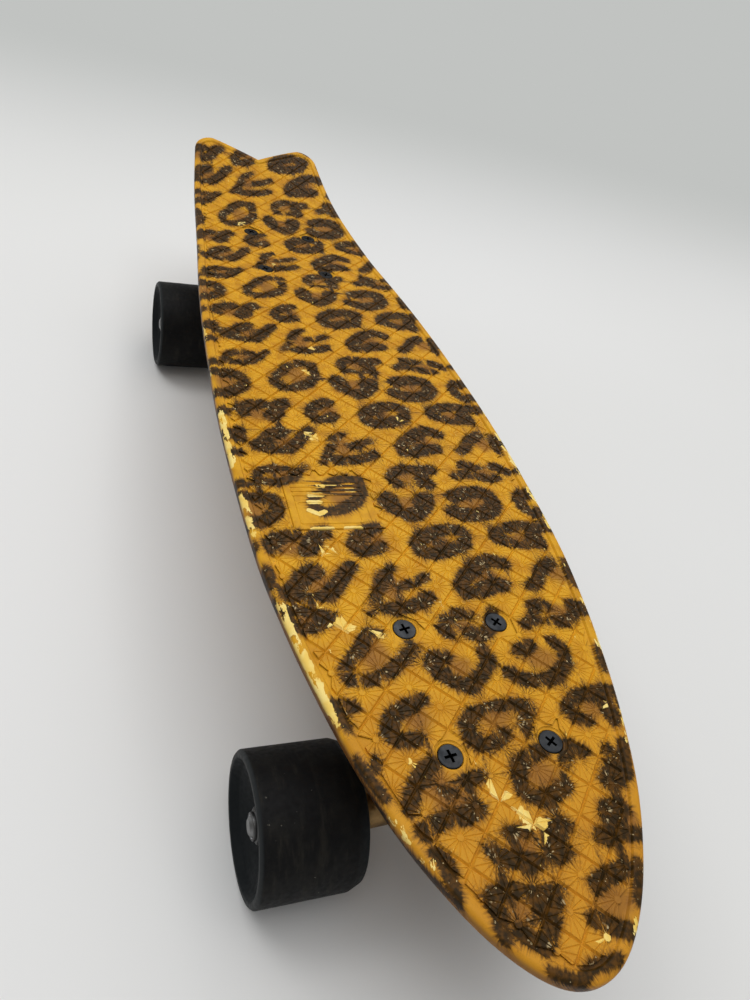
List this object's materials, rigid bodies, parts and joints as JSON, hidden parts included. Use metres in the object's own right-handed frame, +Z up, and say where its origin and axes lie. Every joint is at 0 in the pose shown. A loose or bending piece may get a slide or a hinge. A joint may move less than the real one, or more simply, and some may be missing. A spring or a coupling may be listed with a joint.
{
  "type": "skateboard",
  "caption": "Small moulded fishtail skateboard with a textured printed deck, sprung trucks and wide dished wheels.",
  "frame": {"origin": "on the ground, under the middle of the board's overall length and width", "axes": "+X to the nose, +Y to the rider's left when facing the nose, +Z up"},
  "size_m": [0.596, 0.1624, 0.1181],
  "materials": {
    "deck": "moulded, film-printed, satin",
    "deck_bolt": "black oxide",
    "lock_nut": "zinc plated",
    "riser_pad": "moulded, matt",
    "baseplate": "cast, tumbled",
    "hanger": "cast, tumbled",
    "kingpin": "zinc plated",
    "kingpin_nut": "zinc plated",
    "pivot_cup": "moulded",
    "bushing": "moulded, satin",
    "cup_washer": "zinc plated",
    "axle": "ground",
    "axle_nut": "zinc plated",
    "speed_washer": "zinc plated",
    "bearing": "polished race, plain shield",
    "wheel": "cast urethane, scuffed"
  },
  "bodies": {
    "board": {"deck": "deck", "front_deck_bolt_1": "deck_bolt", "front_deck_bolt_2": "deck_bolt", "front_deck_bolt_3": "deck_bolt", "front_deck_bolt_4": "deck_bolt", "front_deck_nut_1": "lock_nut", "front_deck_nut_2": "lock_nut", "front_deck_nut_3": "lock_nut", "front_deck_nut_4": "lock_nut", "front_riser_pad": "riser_pad", "front_baseplate": "baseplate", "front_kingpin": "kingpin", "front_kingpin_nut": "kingpin_nut", "front_pivot_cup": "pivot_cup", "front_board_bushing": "bushing", "front_road_bushing": "bushing", "front_board_washer": "cup_washer", "front_road_washer": "cup_washer", "rear_deck_bolt_1": "deck_bolt", "rear_deck_bolt_2": "deck_bolt", "rear_deck_bolt_3": "deck_bolt", "rear_deck_bolt_4": "deck_bolt", "rear_deck_nut_1": "lock_nut", "rear_deck_nut_2": "lock_nut", "rear_deck_nut_3": "lock_nut", "rear_deck_nut_4": "lock_nut", "rear_riser_pad": "riser_pad", "rear_baseplate": "baseplate", "rear_kingpin": "kingpin", "rear_kingpin_nut": "kingpin_nut", "rear_pivot_cup": "pivot_cup", "rear_board_bushing": "bushing", "rear_road_bushing": "bushing", "rear_board_washer": "cup_washer", "rear_road_washer": "cup_washer"},
    "front_truck": {"front_hanger": "hanger", "front_axle": "axle", "front_left_speed_washer": "speed_washer", "front_left_axle_nut": "axle_nut", "front_right_speed_washer": "speed_washer", "front_right_axle_nut": "axle_nut"},
    "rear_truck": {"rear_hanger": "hanger", "rear_axle": "axle", "rear_left_speed_washer": "speed_washer", "rear_left_axle_nut": "axle_nut", "rear_right_speed_washer": "speed_washer", "rear_right_axle_nut": "axle_nut"},
    "front_left_wheel_set": {"front_left_wheel": "wheel", "front_left_inner_bearing": "bearing", "front_left_outer_bearing": "bearing"},
    "front_right_wheel_set": {"front_right_wheel": "wheel", "front_right_inner_bearing": "bearing", "front_right_outer_bearing": "bearing"},
    "rear_left_wheel_set": {"rear_left_wheel": "wheel", "rear_left_inner_bearing": "bearing", "rear_left_outer_bearing": "bearing"},
    "rear_right_wheel_set": {"rear_right_wheel": "wheel", "rear_right_inner_bearing": "bearing", "rear_right_outer_bearing": "bearing"}
  },
  "joints": [
    {"name": "front_steer", "type": "hinge", "parent": "board", "child": "front_truck", "pos_m": [0.1792, 0, 0.047], "axis": [0.8988, 0, 0.4384], "range_deg": [-12, 12], "stiffness_Nm_per_rad": 40, "deforming": ["front_board_bushing", "front_road_bushing"]},
    {"name": "rear_steer", "type": "hinge", "parent": "board", "child": "rear_truck", "pos_m": [-0.1382, 0, 0.047], "axis": [-0.8988, 0, 0.4384], "range_deg": [-12, 12], "stiffness_Nm_per_rad": 40, "deforming": ["rear_board_bushing", "rear_road_bushing"]},
    {"name": "front_left_wheel_spin", "type": "hinge", "parent": "front_truck", "child": "front_left_wheel_set", "pos_m": [0.2057, 0, 0.02915], "axis": [0, 1, 0], "continuous": true},
    {"name": "front_right_wheel_spin", "type": "hinge", "parent": "front_truck", "child": "front_right_wheel_set", "pos_m": [0.2057, 0, 0.02915], "axis": [0, 1, 0], "continuous": true},
    {"name": "rear_left_wheel_spin", "type": "hinge", "parent": "rear_truck", "child": "rear_left_wheel_set", "pos_m": [-0.1647, 0, 0.02915], "axis": [0, 1, 0], "continuous": true},
    {"name": "rear_right_wheel_spin", "type": "hinge", "parent": "rear_truck", "child": "rear_right_wheel_set", "pos_m": [-0.1647, 0, 0.02915], "axis": [0, 1, 0], "continuous": true}
  ]
}
